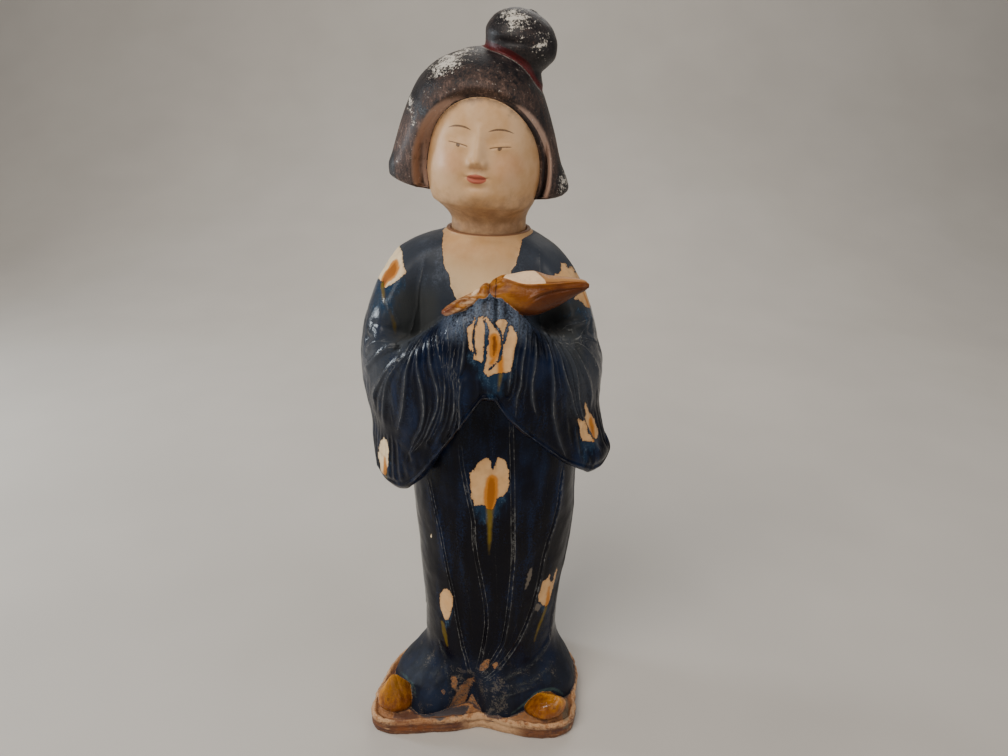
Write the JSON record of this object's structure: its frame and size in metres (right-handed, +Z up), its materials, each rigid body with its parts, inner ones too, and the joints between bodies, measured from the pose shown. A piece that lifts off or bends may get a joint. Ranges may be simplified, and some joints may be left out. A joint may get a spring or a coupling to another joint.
{
  "type": "tang tomb attendant figure",
  "caption": "Standing court lady in a glazed wide-sleeved robe, hands in her sleeves under a wrapped bundle, on a foot plate. The painted head with its topknot lifts out of the collar.",
  "frame": {"origin": "on the flat underside of the foot plate, below the middle of the figure", "axes": "+Z up along the figure's height, the figure looks along -Y, +X on the viewer's right"},
  "size_m": [0.162, 0.1363, 0.4795],
  "materials": {
    "glazed_clay": "gloss",
    "painted_clay": "matte"
  },
  "bodies": {
    "root": {"robed_figure": "glazed_clay", "head": "painted_clay"}
  },
  "joints": []
}
